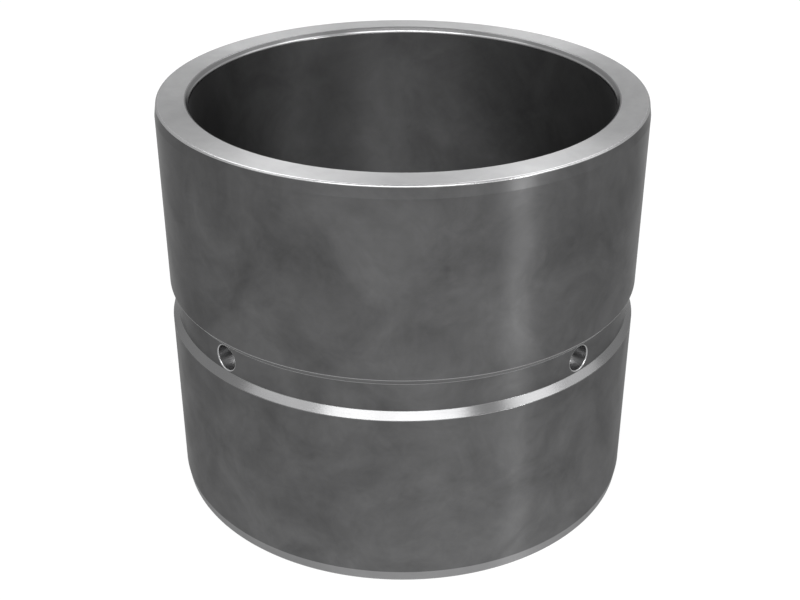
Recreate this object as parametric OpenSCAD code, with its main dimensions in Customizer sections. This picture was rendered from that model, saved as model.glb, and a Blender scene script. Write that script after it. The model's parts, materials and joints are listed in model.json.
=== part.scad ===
// Plain sleeve bearing for a large pivot pin: one turned steel ring with press-in
// leads on both ends, a grease groove round its outer wall and radial grease holes.
// Frame: the bottom end face lies on Z = 0 and the bore runs along Z.
// The first grease hole opens towards +X.

/* [Sleeve] */
// Diameter of the running bore
bore_d = 100; // [60:0.5:200]
// Thickness of the wall between the bore and the press-fit outside
wall = 8; // [4:0.25:20]
// Length between the end faces
length = 100; // [40:0.5:200]

/* [Ends] */
// Axial length of the press-in lead at each end of the outer wall
lead_len = 2.8; // [1:0.1:12]
// Slope of the press-in lead, in degrees from the axis
lead_angle = 8.7; // [3:0.1:30]
// Axial length of the pin lead at each end of the bore
bore_lead_len = 1.1; // [0.5:0.05:4]
// Slope of the pin lead, in degrees from the axis
bore_lead_angle = 38; // [5:1:60]
// Radius that breaks the rims of the end faces
rim_r = 0.5; // [0.1:0.05:1]
// Radius between the pin lead and the bore
bore_edge_r = 1.2; // [0.1:0.05:2]

/* [Grease groove] */
// Depth of the groove below the outer wall
groove_depth = 1.4; // [0.5:0.1:4]
// Width of the flat floor of the groove
groove_floor_w = 6.9; // [4:0.1:20]
// Slope of the groove walls, in degrees from the axis
groove_wall_angle = 40; // [20:1:70]
// Radius on the two edges of the groove
groove_edge_r = 0.3; // [0.1:0.05:1]
// Radius in the two corners of the groove floor
groove_root_r = 0.2; // [0.1:0.05:1]

/* [Grease holes] */
// Number of holes, spaced evenly round the groove
hole_count = 4; // [1:1:12]
// Diameter of each hole
hole_d = 6; // [3:0.1:12]
// Size of the 45 degree break at both mouths of each hole
hole_break = 0.3; // [0.1:0.05:1]

/* [Hidden] */
bore_r = bore_d / 2;
outer_r = bore_r + wall;
mid_z = length / 2;
lead_drop = lead_len * tan(lead_angle);
bore_lead_rise = bore_lead_len * tan(bore_lead_angle);
floor_r = outer_r - groove_depth;
groove_mouth_w = groove_floor_w + 2 * groove_depth / tan(groove_wall_angle);
arc_steps = 4;
turned_fn = 180;
drilled_fn = 48;
// How far a cutting tool runs past the surface that it cuts
overrun = 1;

function direction(v) = v / norm(v);

// Points of the arc of radius r that rounds the corner between two straight lines
function corner_arc(before, corner, after, r) =
    let (
        back = direction(before - corner),
        ahead = direction(after - corner),
        half_angle = acos(back * ahead) / 2,
        centre = corner + direction(back + ahead) * r / sin(half_angle),
        start = corner + back * r / tan(half_angle) - centre,
        finish = corner + ahead * r / tan(half_angle) - centre,
        start_angle = atan2(start.y, start.x),
        turn = (atan2(finish.y, finish.x) - start_angle + 540) % 360 - 180
    )
    [for (i = [0:arc_steps]) centre + r * [cos(start_angle + turn * i / arc_steps),
                                           sin(start_angle + turn * i / arc_steps)]];

// Corners of the wall's section from the bore to the middle of the groove, as
// radius, height and corner radius; the other end is the same, turned over
end_corners = [
    [bore_r, bore_lead_len, bore_edge_r],
    [bore_r + bore_lead_rise, 0, rim_r],
    [outer_r - lead_drop, 0, rim_r],
    [outer_r, lead_len, 0],
    [outer_r, mid_z - groove_mouth_w / 2, groove_edge_r],
    [floor_r, mid_z - groove_floor_w / 2, groove_root_r]
];
corners = concat(
    end_corners,
    [for (i = [len(end_corners) - 1:-1:0])
        [end_corners[i][0], length - end_corners[i][1], end_corners[i][2]]]
);

function corner_at(i) =
    let (c = corners[(i + len(corners)) % len(corners)])
    [c[0], c[1]];

// Half section of the wall, with every rim and groove edge rounded
section = [
    for (i = [0:len(corners) - 1])
        each corners[i][2] > 0
            ? corner_arc(corner_at(i - 1), corner_at(i), corner_at(i + 1), corners[i][2])
            : [corner_at(i)]
];

module turned_ring() {
    rotate_extrude($fn = turned_fn)
        polygon(section);
}

// One drilled hole along +X, with a broken edge at the groove floor and at the bore
module grease_hole() {
    hole_r = hole_d / 2;
    break_end_r = hole_r + hole_break + overrun;
    rotate([0, 90, 0]) {
        translate([0, 0, bore_r - overrun - hole_r])
            cylinder(h = outer_r - bore_r + 2 * overrun + hole_r, r = hole_r, $fn = drilled_fn);
        translate([0, 0, floor_r - hole_break])
            cylinder(h = hole_break + overrun, r1 = hole_r, r2 = break_end_r, $fn = drilled_fn);
        translate([0, 0, bore_r - overrun])
            cylinder(h = hole_break + overrun, r1 = break_end_r, r2 = hole_r, $fn = drilled_fn);
    }
}

module sleeve() {
    color([0.38, 0.38, 0.39])
    difference() {
        turned_ring();
        for (i = [0:hole_count - 1])
            translate([0, 0, mid_z])
                rotate([0, 0, i * 360 / hole_count])
                    grease_hole();
    }
}

sleeve();
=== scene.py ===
import json
import math

import bpy
import numpy as np
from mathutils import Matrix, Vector


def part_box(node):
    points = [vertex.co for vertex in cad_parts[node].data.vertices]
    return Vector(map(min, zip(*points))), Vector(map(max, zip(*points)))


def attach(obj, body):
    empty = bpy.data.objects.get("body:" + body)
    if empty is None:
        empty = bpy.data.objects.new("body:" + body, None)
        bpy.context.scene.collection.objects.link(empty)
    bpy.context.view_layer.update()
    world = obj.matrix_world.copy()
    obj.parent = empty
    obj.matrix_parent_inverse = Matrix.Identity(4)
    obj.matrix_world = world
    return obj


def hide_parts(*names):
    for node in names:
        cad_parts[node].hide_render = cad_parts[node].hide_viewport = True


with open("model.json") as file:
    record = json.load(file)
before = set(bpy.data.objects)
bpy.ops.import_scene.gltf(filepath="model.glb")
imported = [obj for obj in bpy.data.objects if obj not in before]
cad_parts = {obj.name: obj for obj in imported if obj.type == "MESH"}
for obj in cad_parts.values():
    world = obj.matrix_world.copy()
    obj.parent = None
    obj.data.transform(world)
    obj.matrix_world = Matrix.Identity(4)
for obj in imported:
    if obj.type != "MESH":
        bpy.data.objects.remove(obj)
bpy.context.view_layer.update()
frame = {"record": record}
MM = 0.001

# Main sizes of the sleeve, in millimetres, read from the frame
MOUNTS = {mount["name"]: mount for mount in frame["record"]["mounts"]}
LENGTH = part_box("sleeve")[1].z / MM
MID = LENGTH / 2
BORE_R = MOUNTS["bore"]["dims"]["r_mm"]
OUTER_R = MOUNTS["outer_wall"]["dims"]["r_mm"]
LEAD_LEN = (LENGTH - MOUNTS["outer_wall"]["dims"]["length_mm"]) / 2

# Its other sizes, in millimetres and degrees from the axis, as in the part's source
LEAD_ANGLE = 8.7
BORE_LEAD_LEN = 1.1
BORE_LEAD_ANGLE = 38
BORE_EDGE_R = 1.2
RIM_R = 0.5
GROOVE_DEPTH = 1.4
GROOVE_FLOOR_W = 6.9
GROOVE_WALL_ANGLE = 40
GROOVE_EDGE_R = 0.3
GROOVE_ROOT_R = 0.2
FLOOR_R = OUTER_R - GROOVE_DEPTH
HOLE_R = 3.0
HOLE_COUNT = 4
# Radius at the mouths of the holes, which have a 45 degree break in the part's source
HOLE_BREAK = 0.3
# Radius between each press-in lead and the wall, which the part's source leaves sharp
LEAD_EDGE_R = 0.3

# How finely the sleeve is meshed: columns round it, steps in each rounded edge, and steps
# in each rounded mouth of a hole
COLUMNS = 720
ARC_STEPS = 7
BREAK_STEPS = 5
# Columns and rows of the block that each hole takes out of the groove floor and out of the
# bore. Both sums are the same, so that one ring of vertices fits round either block
FLOOR_BLOCK = (14, 14)
BORE_BLOCK = (16, 12)
# Height of the bore's block, in millimetres
BORE_BLOCK_H = 7.2
# Radii that are closer than this, in millimetres, are the same
SAME_MM = 1e-6

# The finish of each kind of surface: the level of its grey, its roughness, how far its
# gloss is stretched across the tool marks, and how strongly it is stained. Some also carry
# painted light, lighter towards the foot, or painted shade, darker towards both mouths, and
# a "faced" one has its marks one after another along the radius
FINISHES = {
    # The outer wall's grey is raised towards its foot: painted light
    "press_wall": {"tone": 0.095, "roughness": 0.37, "stretch": 0.9, "mottle": 0.72, "fade": 0.25},
    # A lighter steel for the bottom press-in lead and its edge only, where the top lead keeps the
    # wall's: painted light
    "lead_band": {"tone": 0.232, "roughness": 0.42, "stretch": 0.9, "mottle": 0.2},
    "end_face": {"tone": 0.33, "roughness": 0.4, "stretch": 0.9, "mottle": 0.3, "faced": True},
    "cut_edge": {"tone": 0.17, "roughness": 0.24, "stretch": 0.6, "mottle": 0.06},
    # The groove's upper wall, which faces down into shade, is given a lighter grey than its lower wall:
    # painted light
    "under_cut": {"tone": 0.2, "roughness": 0.4, "stretch": 0.85, "mottle": 0.06},
    # Rounded edges whose grey is raised so that they show white lines: painted highlight, on both outer
    # rims, the groove's upper edges and the holes' mouths
    "bright_edge": {"tone": 0.35, "roughness": 0.24, "stretch": 0.5, "mottle": 0.03},
    "bore_lip": {"tone": 0.26, "roughness": 0.24, "stretch": 0.5, "mottle": 0.04},
    # The bore's grey is lowered towards both mouths: painted shade
    "honed_bore": {"tone": 0.086, "roughness": 0.5, "stretch": 0.84, "mottle": 0.65, "ends": 0.35},
    "drilled_hole": {"tone": 0.3, "roughness": 0.38, "stretch": 0.3, "mottle": 0.1},
}
SLOTS = {name: slot for slot, name in enumerate(FINISHES)}


def unit(v):
    """The vector at a length of 1."""
    return v / np.linalg.norm(v)


def outward(start, end):
    """Outward normal of a straight stretch of the section, which runs anticlockwise."""
    along = unit(end - start)
    return np.array([along[1], -along[0]])


def section():
    """The wall's section: points (radius, height), their outward normals, and the finish
    of the stretch that follows each point."""
    lead_drop = LEAD_LEN * math.tan(math.radians(LEAD_ANGLE))
    bore_rise = BORE_LEAD_LEN * math.tan(math.radians(BORE_LEAD_ANGLE))
    mouth_w = GROOVE_FLOOR_W + 2 * GROOVE_DEPTH / math.tan(math.radians(GROOVE_WALL_ANGLE))
    # Corners of the lower half, from the bore outwards: radius, height, corner radius
    lower = [
        (BORE_R, BORE_LEAD_LEN, BORE_EDGE_R),
        (BORE_R + bore_rise, 0, RIM_R),
        (OUTER_R - lead_drop, 0, RIM_R),
        (OUTER_R, LEAD_LEN, LEAD_EDGE_R),
        (OUTER_R, MID - mouth_w / 2, GROOVE_EDGE_R),
        (FLOOR_R, MID - GROOVE_FLOOR_W / 2, GROOVE_ROOT_R),
    ]
    corners = lower + [(r, LENGTH - z, edge_r) for r, z, edge_r in lower[::-1]]
    # The finish of each corner, and that of the stretch after it, which each line names
    looks = [
        ("bore_lip", "cut_edge"),  # bottom pin lead
        ("cut_edge", "end_face"),  # bottom face
        # The bottom lead and its edge are lighter than the top ones: painted light
        ("bright_edge", "lead_band"),  # bottom press-in lead
        ("lead_band", "press_wall"),  # outer wall below the groove
        ("cut_edge", "cut_edge"),  # lower wall of the groove
        ("cut_edge", "press_wall"),  # floor of the groove
        ("bright_edge", "under_cut"),  # upper wall of the groove
        ("bright_edge", "press_wall"),  # outer wall above the groove
        ("press_wall", "press_wall"),  # top press-in lead
        ("bright_edge", "end_face"),  # top face
        ("cut_edge", "cut_edge"),  # top pin lead
        ("bore_lip", "honed_bore"),  # bore
    ]
    places = [np.array(corner[:2]) for corner in corners]
    points, normals, finishes = [], [], []
    for i, ((_, _, edge_r), (edge, finish)) in enumerate(zip(corners, looks)):
        before, here, after = places[i - 1], places[i], places[(i + 1) % len(places)]
        n_in, n_out = outward(before, here), outward(here, after)
        turn = math.atan2(n_in[0] * n_out[1] - n_in[1] * n_out[0], n_in @ n_out)
        side = math.copysign(edge_r, turn)
        centre = here - side * (n_in + n_out) / (1 + n_in @ n_out)
        for step in range(ARC_STEPS + 1):
            angle = turn * step / ARC_STEPS
            normal = np.array([
                n_in[0] * math.cos(angle) - n_in[1] * math.sin(angle),
                n_in[0] * math.sin(angle) + n_in[1] * math.cos(angle),
            ])
            points.append(centre + side * normal)
            normals.append(normal)
            finishes.append(edge)
        finishes[-1] = finish
    return points, normals, finishes


def with_rows(points, normals, finishes):
    """Adds the rows of the holes' blocks to the groove floor and, from the top down, to the
    bore. Returns the section with them and the first row of either block."""
    floor_start = next(i for i, point in enumerate(points)
                       if abs(point[0] - FLOOR_R) < SAME_MM and finishes[i] == "press_wall")
    bore_start = len(points) - 1
    out, starts = [], {}
    for i, (point, normal, finish) in enumerate(zip(points, normals, finishes)):
        out.append((point, normal, finish))
        if i == floor_start:
            starts["floor"] = len(out) - 1
            rows, end = FLOOR_BLOCK[1], points[i + 1]
            out += [(point + (end - point) * k / rows, normal, finish) for k in range(1, rows)]
        if i == bore_start:
            starts["bore"] = len(out)
            rows = BORE_BLOCK[1]
            heights = [MID + BORE_BLOCK_H * (0.5 - k / rows) for k in range(rows + 1)]
            out += [(np.array([BORE_R, z]), normal, finish) for z in heights]
    return out, starts


def block_rim(columns, rows):
    """Steps (column, row) round a block of the grid, from the middle of its first row."""
    half = columns // 2
    rim = [(c, 0) for c in range(0, half)]
    rim += [(half, r) for r in range(0, rows)]
    rim += [(c, rows) for c in range(half, -half, -1)]
    rim += [(-half, r) for r in range(rows, 0, -1)]
    rim += [(c, 0) for c in range(-half, 0)]
    return rim


class Mesher:
    """Collects the vertices, their normals and the faces of one turned and drilled ring."""

    def __init__(self):
        self.places, self.normals, self.faces, self.slots = [], [], [], []

    def vertex(self, place, normal):
        """Adds a vertex and returns its number."""
        self.places.append(place)
        self.normals.append(normal)
        return len(self.places) - 1

    def face(self, corners, finish):
        """Adds a face between numbered vertices."""
        self.faces.append(corners)
        self.slots.append(SLOTS[finish])

    def band(self, lower, upper, finish):
        """Adds quads between two closed loops of as many vertices."""
        for k in range(len(lower)):
            m = (k + 1) % len(lower)
            self.face([lower[k], lower[m], upper[m], upper[k]], finish)

    def object(self, name):
        """The object made of all the faces, without the vertices that none of them uses."""
        used = np.unique(np.concatenate([np.array(face) for face in self.faces]))
        place_of = np.full(len(self.places), -1)
        place_of[used] = np.arange(len(used))
        mesh = bpy.data.meshes.new(name)
        mesh.from_pydata([self.places[i] for i in used], [],
                         [[int(place_of[i]) for i in face] for face in self.faces])
        mesh.polygons.foreach_set("material_index", self.slots)
        mesh.polygons.foreach_set("use_smooth", [True] * len(self.faces))
        mesh.normals_split_custom_set_from_vertices([self.normals[i] for i in used])
        thing = bpy.data.objects.new(name, mesh)
        bpy.context.scene.collection.objects.link(thing)
        return thing


def drill(ring, grid, starts, column):
    """Joins the block left out of the groove floor to the one left out of the bore by a
    hole with rounded mouths, along the radius through the grid's given column."""
    azimuth = 2 * math.pi * column / COLUMNS
    radial = np.array([math.cos(azimuth), math.sin(azimuth), 0])
    across = np.array([-math.sin(azimuth), math.cos(azimuth), 0])
    up = np.array([0, 0, 1])
    count = 2 * sum(FLOOR_BLOCK)
    turns = [2 * math.pi * k / count - math.pi / 2 for k in range(count)]

    def loop(wall_r, facing, share):
        """A loop of a rounded mouth, between its edge on the wall (0) and its edge in the
        hole (1). The wall faces away from the bore's axis (1) or towards it (-1)."""
        angle = share * math.pi / 2
        loop_r = HOLE_R + HOLE_BREAK * (1 - math.sin(angle))
        depth = HOLE_BREAK * (1 - math.cos(angle))
        members = []
        for turn in turns:
            aside, rise = loop_r * math.cos(turn), loop_r * math.sin(turn)
            reach = math.sqrt(wall_r ** 2 - aside ** 2)
            place = radial * (reach - facing * depth) + across * aside + up * (MID + rise)
            wall_normal = unit(radial * reach + across * aside) * facing
            to_axis = -(across * math.cos(turn) + up * math.sin(turn))
            normal = unit(wall_normal * math.cos(angle) + to_axis * math.sin(angle))
            members.append(ring.vertex(place * MM, normal))
        return members

    def mouth(wall_r, facing):
        """The loops of one mouth, from the wall into the hole."""
        return [loop(wall_r, facing, step / BREAK_STEPS) for step in range(BREAK_STEPS + 1)]

    floor_rim = [grid[starts["floor"] + r][(column + c) % COLUMNS]
                 for c, r in block_rim(*FLOOR_BLOCK)]
    # The bore's rows run downwards, so its rim is taken from the last of them
    bore_rim = [grid[starts["bore"] + BORE_BLOCK[1] - r][(column + c) % COLUMNS]
                for c, r in block_rim(*BORE_BLOCK)]
    outer, inner = mouth(FLOOR_R, 1), mouth(BORE_R, -1)
    ring.band(floor_rim, outer[0], "press_wall")
    for a, b in zip(outer, outer[1:]):
        # The rounded mouths take the edge steel with painted highlight
        ring.band(a, b, "bright_edge")
    ring.band(outer[-1], inner[-1], "drilled_hole")
    for a, b in zip(inner[::-1], inner[-2::-1]):
        ring.band(a, b, "bright_edge")
    ring.band(inner[0], bore_rim, "honed_bore")


def turn_sleeve():
    """The sleeve as one closed mesh: a turned ring whose holes are part of its grid."""
    rows, starts = with_rows(*section())
    turns = [2 * math.pi * j / COLUMNS for j in range(COLUMNS)]
    around = [(math.cos(turn), math.sin(turn)) for turn in turns]
    ring = Mesher()
    grid = [
        [ring.vertex(np.array([radius * c, radius * s, height]) * MM,
                     np.array([outwards * c, outwards * s, upwards])) for c, s in around]
        for (radius, height), (outwards, upwards), _ in rows
    ]
    hole_columns = [COLUMNS * k // HOLE_COUNT for k in range(HOLE_COUNT)]
    cut = set()
    for name, (columns, block_rows) in (("floor", FLOOR_BLOCK), ("bore", BORE_BLOCK)):
        for hole in hole_columns:
            for c in range(-columns // 2, columns // 2):
                cut |= {(starts[name] + r, (hole + c) % COLUMNS) for r in range(block_rows)}
    for i, (_, _, finish) in enumerate(rows):
        k = (i + 1) % len(rows)
        for j in range(COLUMNS):
            m = (j + 1) % COLUMNS
            if (i, j) not in cut:
                ring.face([grid[i][j], grid[i][m], grid[k][m], grid[k][j]], finish)
    for hole in hole_columns:
        drill(ring, grid, starts, hole)
    return ring.object("steel_sleeve")


class Flow:
    """A socket whose Python arithmetic adds Math nodes to its sheet."""

    def __init__(self, sheet, socket):
        self.sheet, self.socket = sheet, socket

    def math(self, operation, first, second):
        return self.sheet.add("ShaderNodeMath", {"operation": operation}, {0: first, 1: second})

    def __add__(self, other):
        return self.math("ADD", self, other)

    def __radd__(self, other):
        return self.math("ADD", other, self)

    def __sub__(self, other):
        return self.math("SUBTRACT", self, other)

    def __rsub__(self, other):
        return self.math("SUBTRACT", other, self)

    def __mul__(self, other):
        return self.math("MULTIPLY", self, other)

    def __rmul__(self, other):
        return self.math("MULTIPLY", other, self)


class Sheet:
    """The node sheet of one material or world, filled through a single method."""

    def __init__(self, owner):
        owner.use_nodes = True
        self.tree = owner.node_tree
        self.tree.nodes.clear()

    def add(self, kind, settings=None, inputs=None, output=0):
        """Adds a node, applies its settings, fills its sockets and returns one output."""
        node = self.tree.nodes.new(kind)
        for name, value in (settings or {}).items():
            setattr(node, name, value)
        for name, value in (inputs or {}).items():
            if isinstance(value, Flow):
                self.tree.links.new(value.socket, node.inputs[name])
            else:
                node.inputs[name].default_value = value
        return Flow(self, node.outputs[output]) if node.outputs else None


def grey(level):
    """A plain grey as a colour."""
    return (level, level, level, 1)


# The stain's noise, in large clouds and finer wisps, and how much each adds to it
CLOUDS = {"Scale": 55.0, "Detail": 6.0, "Roughness": 0.58, "Distortion": 0.6}
WISPS = {"Scale": 210.0, "Detail": 4.0, "Roughness": 0.6, "Distortion": 1.0}
CLOUD_WEIGHT = 1.7
WISP_WEIGHT = 0.45
# The noise of the tool marks, and its scale across the marks and along them
MARKS = {"Detail": 2.0, "Roughness": 0.5}
MARKS_ACROSS = 5200.0
MARKS_ALONG = 60.0
# The value that noise lies around
NOISE_MIDDLE = 0.5
# How strongly the marks show in the tone, the roughness and the relief, and their depth
MARK_TONE = 0.06
MARK_ROUGHNESS = 0.06
MARK_RELIEF = 0.12
MARK_DEPTH = 0.02 * MM
# How much smoother the lighter patches of the stain are
STAIN_GLOSS = 0.05
# The steel's blue for each unit of its red or green
BLUE_SHARE = 1.01
# Share of the glancing reflection that this dark steel keeps
EDGE_TINT = 0.575
# Share of a full turn that lays the stretched gloss across the tool marks
GLOSS_TURN = 0.25


def steel(name, tone, roughness, stretch, mottle, faced=False, fade=0.0, ends=0.0):
    """A turned steel with a cloudy stain, with fine tool marks that run round the bore, and with painted
    light and shade along its axis.
    """
    material = bpy.data.materials.new(name)
    sheet = Sheet(material)
    place = sheet.add("ShaderNodeTexCoord", output="Object")
    cloud = sheet.add("ShaderNodeTexNoise", {}, {"Vector": place, **CLOUDS})
    wisp = sheet.add("ShaderNodeTexNoise", {}, {"Vector": place, **WISPS})
    if faced:
        level_place = sheet.add("ShaderNodeVectorMath", {"operation": "MULTIPLY"}, {
            0: place, 1: (1, 1, 0)})
        radius = sheet.add("ShaderNodeVectorMath", {"operation": "LENGTH"}, {
            0: level_place}, output="Value")
        marks = sheet.add("ShaderNodeTexNoise", {"noise_dimensions": "1D"}, {
            "W": radius, "Scale": MARKS_ACROSS, **MARKS})
    else:
        stretched_place = sheet.add("ShaderNodeVectorMath", {"operation": "MULTIPLY"}, {
            0: place, 1: (MARKS_ALONG, MARKS_ALONG, MARKS_ACROSS)})
        marks = sheet.add("ShaderNodeTexNoise", {}, {
            "Vector": stretched_place, "Scale": 1.0, **MARKS})
    stain = (cloud - NOISE_MIDDLE) * CLOUD_WEIGHT + (wisp - NOISE_MIDDLE) * WISP_WEIGHT
    height = sheet.add("ShaderNodeSeparateXYZ", {}, {0: place}, output="Z")
    # Runs from -0.5 at the foot to 0.5 at the top, so 4 times its square is 1 at either end
    from_middle = height * (1 / (LENGTH * MM)) - 0.5
    # Painted light and shade along the axis: lighter towards the foot, darker towards either end
    painted_light_and_shade_along_axis = 1 - fade * from_middle - ends * 4 * from_middle * from_middle
    level = painted_light_and_shade_along_axis * (1 + mottle * stain + MARK_TONE * (marks - NOISE_MIDDLE))
    colour = sheet.add("ShaderNodeVectorMath", {"operation": "SCALE"}, {
        0: (tone, tone, tone * BLUE_SHARE), "Scale": level})
    rough = roughness + (stain * -STAIN_GLOSS + (marks - NOISE_MIDDLE) * MARK_ROUGHNESS)
    relief = sheet.add("ShaderNodeBump", {}, {
        "Strength": MARK_RELIEF, "Distance": MARK_DEPTH, "Height": marks})
    surface = sheet.add("ShaderNodeBsdfPrincipled", {}, {
        "Base Color": colour, "Metallic": 1.0, "Roughness": rough, "Normal": relief,
        "Anisotropic": stretch, "Anisotropic Rotation": GLOSS_TURN,
        "Specular Tint": grey(EDGE_TINT)})
    sheet.add("ShaderNodeOutputMaterial", {}, {"Surface": surface})
    return material


def finish_sleeve(sleeve):
    """Gives the sleeve its finishes, in the order of their slots."""
    for name, finish in FINISHES.items():
        sleeve.data.materials.append(steel(name, **finish))


# The camera's place, turned to stand midway between the two holes that it sees
CAMERA_TURN = math.radians(45)
CAMERA_BACK = 285.4 * MM
CAMERA_UP = 198.2 * MM
CAMERA_PITCH = math.radians(28.497)
CAMERA_YAW = math.radians(0.1275)
FOCAL_PX = 1262.2
IMAGE_W_PX = 800
SENSOR_MM = 36
NEAR_CLIP = 10 * MM


def place_camera():
    """The camera, at the photo's viewing angle."""
    data = bpy.data.cameras.new("camera")
    data.sensor_width = SENSOR_MM
    data.lens = FOCAL_PX / IMAGE_W_PX * SENSOR_MM
    data.clip_start = NEAR_CLIP
    camera = bpy.data.objects.new("camera", data)
    camera.location = (CAMERA_BACK * math.sin(CAMERA_TURN), -CAMERA_BACK * math.cos(CAMERA_TURN),
                       CAMERA_UP)
    camera.rotation_euler = (math.pi / 2 - CAMERA_PITCH, 0, CAMERA_TURN + CAMERA_YAW)
    bpy.context.scene.collection.objects.link(camera)
    bpy.context.scene.camera = camera


def seen_ray(sheet):
    """1 for the rays that show a surface, straight or in a reflection, and 0 for the rest."""
    straight = sheet.add("ShaderNodeLightPath", output="Is Camera Ray")
    rays = straight.socket.node.outputs
    mirrored = Flow(sheet, rays["Is Glossy Ray"])
    through = Flow(sheet, rays["Is Transmission Ray"])
    return straight + mirrored + through


# Side of the floor, in metres
FLOOR_SIZE = 6.0
# How far it lies below the sleeve, so that the two don't share a plane
FLOOR_GAP = 0.02 * MM
# The floor's grey for the rays that only light the sleeve
FLOOR_PLAIN = 0.5
# What the rays that show the floor see: a grey that takes the shadow, and a white glow
FLOOR_SHADED = 0.2
FLOOR_GLOW = 0.86


def lay_floor():
    """A floor that looks white and shows the sleeve's soft shadow."""
    mesh = bpy.data.meshes.new("studio_floor")
    half = FLOOR_SIZE / 2
    mesh.from_pydata([(-half, -half, 0), (half, -half, 0), (half, half, 0), (-half, half, 0)], [],
                     [(0, 1, 2, 3)])
    floor = bpy.data.objects.new("studio_floor", mesh)
    floor.location.z = -FLOOR_GAP
    bpy.context.scene.collection.objects.link(floor)
    material = bpy.data.materials.new("studio_floor")
    sheet = Sheet(material)
    plain = sheet.add("ShaderNodeBsdfDiffuse", {}, {"Color": grey(FLOOR_PLAIN)})
    shaded = sheet.add("ShaderNodeBsdfDiffuse", {}, {"Color": grey(FLOOR_SHADED)})
    glow = sheet.add("ShaderNodeEmission", {}, {"Color": grey(1), "Strength": FLOOR_GLOW})
    shown = sheet.add("ShaderNodeAddShader", {}, {0: shaded, 1: glow})
    surface = sheet.add("ShaderNodeMixShader", {}, {0: seen_ray(sheet), 1: plain, 2: shown})
    sheet.add("ShaderNodeOutputMaterial", {}, {"Surface": surface})
    floor.data.materials.append(material)


# The world's strength for the rays that only light the sleeve, and for those that show it
WORLD_LIGHT = 0.05
WORLD_SHOWN = 1.0


def fill_world():
    """A world that looks white and hardly lights the sleeve."""
    world = bpy.data.worlds.new("studio")
    bpy.context.scene.world = world
    sheet = Sheet(world)
    level = sheet.add("ShaderNodeMapRange", {}, {
        "Value": seen_ray(sheet), "To Min": WORLD_LIGHT, "To Max": WORLD_SHOWN})
    light = sheet.add("ShaderNodeBackground", {}, {"Color": grey(1), "Strength": level})
    sheet.add("ShaderNodeOutputWorld", {}, {"Surface": light})


# Soft boxes: azimuth to the right of the camera, elevation, width and height in degrees as
# seen from the sleeve, and radiance
SOFT_BOXES = {
    "key": (-4, 43, 56, 20, 6.8),
    "key_left": (-62, 37, 32, 20, 1.9),
    "key_right": (68, 34, 22, 22, 4.3),
    "key_far_right": (93, 26, 22, 20, 1.6),
    "strip_right": (51, 3.5, 9, 7, 27.0),
    "strip_between": (33, 3.5, 18, 7, 4.0),
    "strip_front": (14, 3.5, 8, 7, 4.0),
    "back_left": (-146, 55, 26, 26, 4.2),
    "back_right": (150, 52, 24, 26, 3.4),
    "back_low": (180, 28, 30, 18, 0.7),
}
# How far they hang from the point that they all face, in metres
BOX_AWAY = 1.6
BOX_AIM = Vector((0, 0, 0.06))


def hang_soft_box(name, azimuth, elevation, width, height, radiance):
    """One soft box, given as in the list of them."""
    data = bpy.data.lights.new(name, "AREA")
    data.shape = "RECTANGLE"
    data.size = 2 * BOX_AWAY * math.tan(math.radians(width / 2))
    data.size_y = 2 * BOX_AWAY * math.tan(math.radians(height / 2))
    data.energy = radiance * data.size * data.size_y * math.pi
    box = bpy.data.objects.new(name, data)
    turn = math.radians(azimuth) + CAMERA_TURN
    rise = math.radians(elevation)
    towards = Vector((math.sin(turn) * math.cos(rise), -math.cos(turn) * math.cos(rise), math.sin(rise)))
    box.location = BOX_AIM + towards * BOX_AWAY
    box.rotation_euler = towards.to_track_quat("Z", "Y").to_euler()
    bpy.context.scene.collection.objects.link(box)


sleeve = turn_sleeve()
finish_sleeve(sleeve)
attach(sleeve, "root")
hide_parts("sleeve")

place_camera()
lay_floor()
fill_world()
for name, box in SOFT_BOXES.items():
    hang_soft_box(name, *box)
bpy.context.scene.view_settings.view_transform = "Standard"
